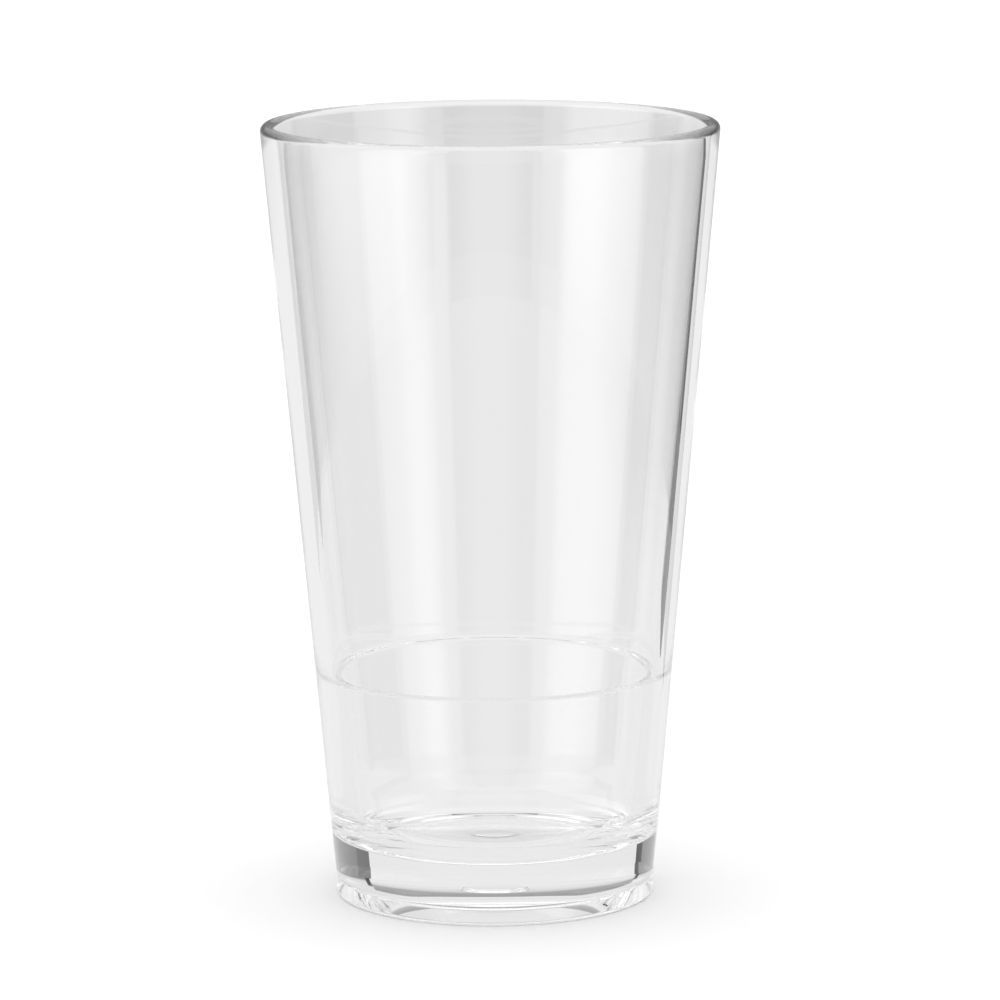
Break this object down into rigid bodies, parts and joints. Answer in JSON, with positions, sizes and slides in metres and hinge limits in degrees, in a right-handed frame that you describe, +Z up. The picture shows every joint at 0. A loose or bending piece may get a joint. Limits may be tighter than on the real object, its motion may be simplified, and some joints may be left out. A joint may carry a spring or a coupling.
{
  "type": "mixing glass",
  "caption": "Clear stackable mixing glass: tapered round tumbler with a rounded lip, an inner stacking ledge and a thick base.",
  "frame": {"origin": "centre of the foot, on the surface that the glass stands on", "axes": "+Z up along the axis of the glass; the shape is the same all round, so +X and +Y are any two level directions"},
  "size_m": [0.0872, 0.0872, 0.149],
  "materials": {
    "clear_plastic": "clear, colourless and highly polished all over, as moulded"
  },
  "bodies": {
    "root": {"tumbler_body": "clear_plastic"}
  },
  "joints": []
}
